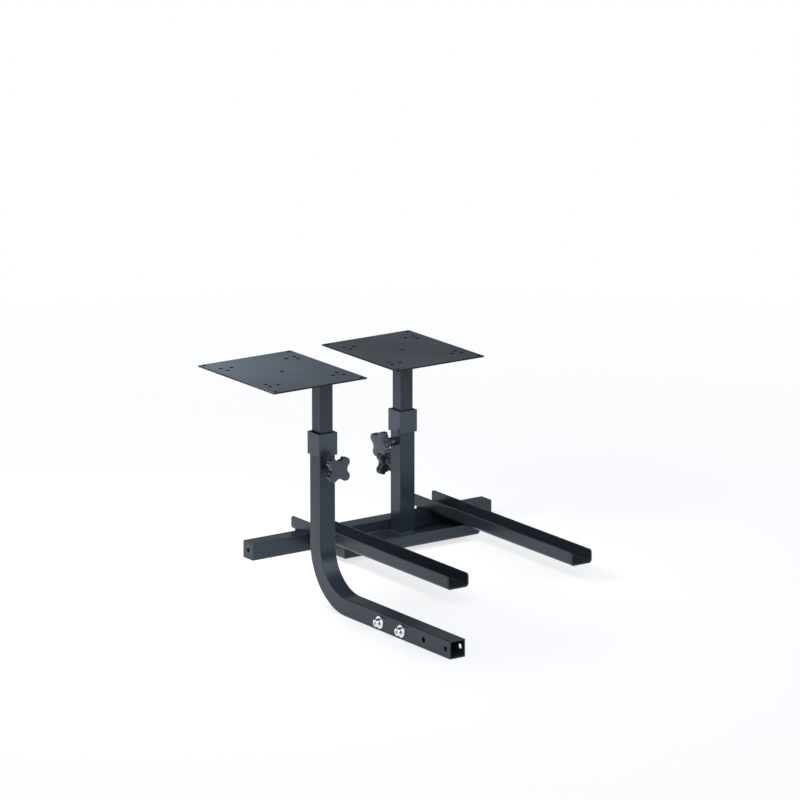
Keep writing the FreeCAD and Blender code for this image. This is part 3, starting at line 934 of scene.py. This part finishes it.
def knob_mesh(name):
    """Grip with its neck, the neck's end at zero and the grip's face outward along Z."""
    detail = bpy.context.scene.mount_detail
    grip = run_tree("fluted grip", grip_tree, grip_profile(), "grip plastic", {
        "Lobes": GRIP_LOBES, "Points": GRIP_POINTS, "Lobe Radius": LOBE_RADIUS * MM,
        "Lobe Centre": LOBE_CENTRE * MM, "Valley Radius": VALLEY_RADIUS * MM,
        "Flute Radius": detail.flute_radius, "Flute Depth": detail.flute_depth,
        "Flute Step": math.radians(FLUTE_STEP)})
    outward_faces(grip)
    grip.transform(Matrix.Translation((0, 0, NECK_LENGTH * MM)))
    rows = neck_rows()
    neck = turned_mesh(rows, [PLAIN] * len(rows), NECK_SEGMENTS, "grip plastic")
    return join_meshes(name, [grip, neck])


class MOUNT_OT_knobs(bpy.types.Operator):
    """Mould the fluted clamp knobs"""
    bl_idname = "stick_mount.knobs"
    bl_label = "Clamp knobs"

    def execute(self, context):
        for name, outward, turn in CLAMPS:
            node = f"{name}_knob"
            low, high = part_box(node)
            start = (low + high) / 2 - outward * (NECK_LENGTH + GRIP_THICK) * MM / 2
            mesh = knob_mesh(f"{node}_moulded")
            mesh.transform(facing(start, outward, turn))
            stand_for(node, "moulded", mesh, "grip plastic", KNOB_CREASE)
        return {"FINISHED"}


def cap_screw(shank):
    """Socket screw along Z with its head's underside at zero and a shank of the given length below it."""
    thread, thread_reliefs = threaded_rows(SHANK_RADIUS - SCREW_THREAD_EASE, -shank, -shank + SCREW_THREAD)
    head = [(SHANK_RADIUS, -shank + SCREW_THREAD + SHANK_STEP), (SHANK_RADIUS, 0.0),
            (HEAD_RADIUS - HEAD_FOOT, 0.0), (HEAD_RADIUS, HEAD_FOOT)]
    head += [(HEAD_RADIUS - inset, HEAD_HEIGHT - drop) for inset, drop in HEAD_RIM]
    lead_out, lead_down = SOCKET_LEAD
    floor = HEAD_HEIGHT - SOCKET_DEPTH
    socket = [(SOCKET_HALF + lead_out, HEAD_HEIGHT), (SOCKET_HALF, HEAD_HEIGHT - lead_down),
              (SOCKET_HALF, floor)]
    rows = [(0, -shank), *thread, *head, *socket, (0, floor - SOCKET_POINT)]
    reliefs = [PLAIN, *thread_reliefs, *[PLAIN] * len(head), *[SIX_SIDED] * len(socket), PLAIN]
    return turned_mesh(rows, reliefs, SCREW_SEGMENTS, "zinc plate")


def washer(radius, half):
    """Washer about the origin, of a radius and half its thickness, with its edges broken."""
    inner = WASHER_BORE + WASHER_EDGE
    outer = radius - WASHER_EDGE
    side = half - WASHER_EDGE
    rows = [(WASHER_BORE, -side), (inner, -half), (outer, -half), (radius, -side), (radius, side),
            (outer, half), (inner, half), (WASHER_BORE, side), (WASHER_BORE, -side)]
    return turned_mesh(rows, [PLAIN] * len(rows), WASHER_SEGMENTS, "zinc plate")


class MOUNT_OT_screws(bpy.types.Operator):
    """Turn the stand's cap screws and their washers"""
    bl_idname = "stick_mount.screws"
    bl_label = "Stand screws"

    def execute(self, context):
        outward = Vector((0, -1, 0))
        for node in SCREWS:
            low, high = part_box(node)
            middle = (low + high) / 2
            mesh = cap_screw((high.y - low.y) / MM - HEAD_HEIGHT)
            mesh.transform(facing(Vector((middle.x, low.y + HEAD_HEIGHT * MM, middle.z)), outward))
            stand_for(node, "turned", mesh, "zinc plate", SCREW_CREASE)
        for node in WASHERS:
            low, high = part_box(node)
            mesh = washer((high.x - low.x) / 2 / MM, (high.y - low.y) / MM / 2)
            mesh.transform(facing((low + high) / 2, outward))
            stand_for(node, "turned", mesh, "zinc plate", SCREW_CREASE)
        return {"FINISHED"}


def loop_path(node, height):
    """Closed square path round an upright tube at a height, its corners cut."""
    low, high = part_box(node)
    cut = WELD_CORNER * MM
    return [(low.x + cut, low.y, height), (high.x - cut, low.y, height), (high.x, low.y + cut, height),
            (high.x, high.y - cut, height), (high.x - cut, high.y, height), (low.x + cut, high.y, height),
            (low.x, high.y - cut, height), (low.x, low.y + cut, height)]


def rail_runs(rail):
    """Paths where a rail crosses the cross tube: at the tube's two edges and the rail's two sides."""
    low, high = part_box(rail)
    tube_low, tube_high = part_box("cross_tube")
    height = low.z + ACROSS_UP * MM
    runs = [[(x, low.y + ACROSS_IN * MM, height), (x, high.y - ACROSS_IN * MM, height)]
            for x in (tube_low.x, tube_high.x)]
    start = tube_low.x + ALONG_SHORT * MM
    end = tube_high.x - ALONG_SHORT * MM
    height = low.z + ALONG_UP * MM
    runs += [[(start, y, height), (end, y, height)] for y in (low.y + ALONG_IN * MM, high.y - ALONG_IN * MM)]
    return runs


def weld_mesh(loop, runs=()):
    """Beads along a closed loop and open runs of points."""
    points = list(loop)
    edges = [(i, (i + 1) % len(loop)) for i in range(len(loop))]
    for start, end in runs:
        edges.append((len(points), len(points) + 1))
        points += [start, end]
    path = bpy.data.meshes.new("weld path")
    path.from_pydata(points, edges, [])
    detail = bpy.context.scene.mount_detail
    return run_tree("weld bead", weld_tree, path, "graphite coat", {
        "Pitch": detail.weld_pitch, "Half Width": detail.weld_width, "Seed": WELD_SEED})


class MOUNT_OT_welds(bpy.types.Operator):
    """Lay the weld beads where tubes, plates and rails meet"""
    bl_idname = "stick_mount.welds"
    bl_label = "Welds"

    def execute(self, context):
        for name in ("stick", "throttle"):
            plate_low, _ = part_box(f"{name}_plate")
            mesh = weld_mesh(loop_path(f"{name}_mast", plate_low.z))
            finish_piece(f"{name}_head_weld", mesh, "graphite coat", f"{name}_head", WELD_CREASE)
        post_low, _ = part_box("stick_post")
        loop = loop_path("stick_post", post_low.z)
        mesh = weld_mesh(loop, rail_runs("rail_left") + rail_runs("rail_right"))
        finish_piece("frame_welds", mesh, "graphite coat", "frame", WELD_CREASE)
        return {"FINISHED"}


def seen_rays(tree):
    """Field that is one for camera, glossy and transmission rays."""
    path = put(tree, "ShaderNodeLightPath")
    camera = Field(tree, path.outputs["Is Camera Ray"])
    return camera.most(path.outputs["Is Glossy Ray"]).most(path.outputs["Is Transmission Ray"])


def floor_material(stage):
    """Pale floor that keeps the mount's shadow, shows white far off and lets views from below through."""
    material = bpy.data.materials.new("studio floor")
    material.use_nodes = True
    tree = material.node_tree
    tree.nodes.clear()
    matt = put(tree, "ShaderNodeBsdfDiffuse", {"Color": (*stage.floor, 1.0)})
    camera = put(tree, "ShaderNodeLightPath").outputs["Is Camera Ray"]
    tint = mix_colour(tree, camera, stage.cool, (1.0, 1.0, 1.0))
    seen = seen_rays(tree)
    glow = put(tree, "ShaderNodeEmission", {"Color": tint, "Strength": seen * stage.floor_glow})
    near = put(tree, "ShaderNodeAddShader", {0: matt, 1: glow})
    white = put(tree, "ShaderNodeEmission", {"Color": tint, "Strength": seen})
    place = put(tree, "ShaderNodeTexCoord").outputs["Object"]
    distance = put(tree, "ShaderNodeVectorMath", {0: place}, operation="LENGTH").outputs["Value"]
    far = put(tree, "ShaderNodeMapRange", {
        "Value": distance, "From Min": FLOOR_FADE[0], "From Max": FLOOR_FADE[1]})
    top = put(tree, "ShaderNodeMixShader", {0: far, 1: near, 2: white})
    under = put(tree, "ShaderNodeBsdfTransparent")
    back = put(tree, "ShaderNodeNewGeometry").outputs["Backfacing"]
    both = put(tree, "ShaderNodeMixShader", {0: back, 1: top, 2: under})
    put(tree, "ShaderNodeOutputMaterial", {"Surface": both})
    return material


def fade(tree, value, limits):
    """One below the lower limit, none above the upper one, and smooth between them."""
    node = put(tree, "ShaderNodeMapRange", {
        "Value": value, "From Min": limits[0], "From Max": limits[1], "To Min": 1.0, "To Max": 0.0},
        interpolation_type="SMOOTHSTEP")
    return Field(tree, node.outputs[0])


def studio_world(stage):
    """White to the camera; its light is a wide key, a band at the front right and a low wall behind."""
    world = bpy.data.worlds.new("studio")
    world.use_nodes = True
    tree = world.node_tree
    tree.nodes.clear()
    way = put(tree, "ShaderNodeSeparateXYZ", {0: put(tree, "ShaderNodeTexCoord").outputs["Generated"]})
    x, y, z = [Field(tree, socket) for socket in way.outputs]

    def towards(direction):
        return (x * direction[0] + y * direction[1] + z * direction[2]).most(0.0)

    key = towards(KEY_WAY).power(KEY_POWER)
    box = towards(BOX_WAY) * (1.0 - fade(tree, z, BOX_FADE_IN)) * fade(tree, z, BOX_FADE_OUT)
    back = towards(BACK_WAY) * fade(tree, z, BACK_FADE)
    light = key * stage.key + box * stage.box + back * stage.back + stage.around
    lit = put(tree, "ShaderNodeBackground", {"Color": (*stage.cool, 1.0), "Strength": light})
    white = put(tree, "ShaderNodeBackground", {"Color": (1, 1, 1, 1), "Strength": 1.0})
    seen = put(tree, "ShaderNodeLightPath").outputs["Is Camera Ray"]
    both = put(tree, "ShaderNodeMixShader", {0: seen, 1: lit, 2: white})
    put(tree, "ShaderNodeOutputWorld", {"Surface": both})
    return world


def link_object(name, data, place):
    """New object in the scene at a place."""
    made = bpy.data.objects.new(name, data)
    bpy.context.scene.collection.objects.link(made)
    made.location = place
    return made


class MOUNT_OT_stage(bpy.types.Operator):
    """Set up the pale floor, the soft lights and the camera"""
    bl_idname = "stick_mount.stage"
    bl_label = "Studio"

    def execute(self, context):
        scene = context.scene
        stage = scene.mount_stage
        scene.view_settings.view_transform = "Standard"
        scene.world = studio_world(stage)
        middle = (CAD_LOW + CAD_HIGH) / 2
        mesh = bpy.data.meshes.new("floor")
        corners = [(-1, -1), (1, -1), (1, 1), (-1, 1)]
        mesh.from_pydata([(x * FLOOR_REACH, y * FLOOR_REACH, 0) for x, y in corners], [], [(0, 1, 2, 3)])
        mesh.materials.append(floor_material(stage))
        floor = link_object("floor", mesh, (middle.x, middle.y, CAD_LOW.z - FLOOR_GAP))
        lamp = bpy.data.lights.new("plate lamp", "AREA")
        lamp.size = LAMP_SIZE
        lamp.energy = stage.lamp
        link_object("plate lamp", lamp, LAMP_PLACE)
        camera = link_object("camera", bpy.data.cameras.new("camera"), stage.camera_place)
        turn = stage.camera_turn
        level = math.cos(stage.camera_drop)
        look = Vector((-math.sin(turn) * level, math.cos(turn) * level, -math.sin(stage.camera_drop)))
        camera.rotation_mode = "QUATERNION"
        camera.rotation_quaternion = look.to_track_quat("-Z", "Y")
        camera.data.sensor_width = SENSOR
        camera.data.lens = stage.lens
        camera.data.clip_end = VIEW_END
        scene.camera = camera
        return {"FINISHED"}


OPERATORS = (MOUNT_OT_tubes, MOUNT_OT_sheets, MOUNT_OT_plates, MOUNT_OT_collars, MOUNT_OT_studs,
             MOUNT_OT_knobs, MOUNT_OT_screws, MOUNT_OT_welds, MOUNT_OT_stage)
SETTINGS = {"mount_finish": FinishSettings, "mount_detail": DetailSettings, "mount_stage": StageSettings}


class MOUNT_PT_panel(bpy.types.Panel):
    """Lists the mount's pieces and settings"""
    bl_idname = "MOUNT_PT_panel"
    bl_label = "Stick Mount"
    bl_space_type = "VIEW_3D"
    bl_region_type = "UI"
    bl_category = "Stick Mount"

    def draw(self, context):
        for operator in OPERATORS:
            self.layout.operator(operator.bl_idname)
        for name, kind in SETTINGS.items():
            box = self.layout.box()
            for key in kind.__annotations__:
                box.prop(getattr(context.scene, name), key)


CLASSES = (*SETTINGS.values(), *OPERATORS, MOUNT_PT_panel)


def register():
    """Registers the classes and puts the settings on the scene."""
    for item in CLASSES:
        bpy.utils.register_class(item)
    for name, kind in SETTINGS.items():
        setattr(bpy.types.Scene, name, PointerProperty(type=kind))


def unregister():
    """Takes the settings and the classes away again."""
    for name in SETTINGS:
        delattr(bpy.types.Scene, name)
    for item in reversed(CLASSES):
        bpy.utils.unregister_class(item)


def main():
    """Makes every piece and the studio."""
    register()
    bpy.ops.stick_mount.tubes()
    bpy.ops.stick_mount.sheets()
    bpy.ops.stick_mount.plates()
    bpy.ops.stick_mount.collars()
    bpy.ops.stick_mount.studs()
    bpy.ops.stick_mount.knobs()
    bpy.ops.stick_mount.screws()
    bpy.ops.stick_mount.welds()
    bpy.ops.stick_mount.stage()


if __name__ == "__main__":
    main()
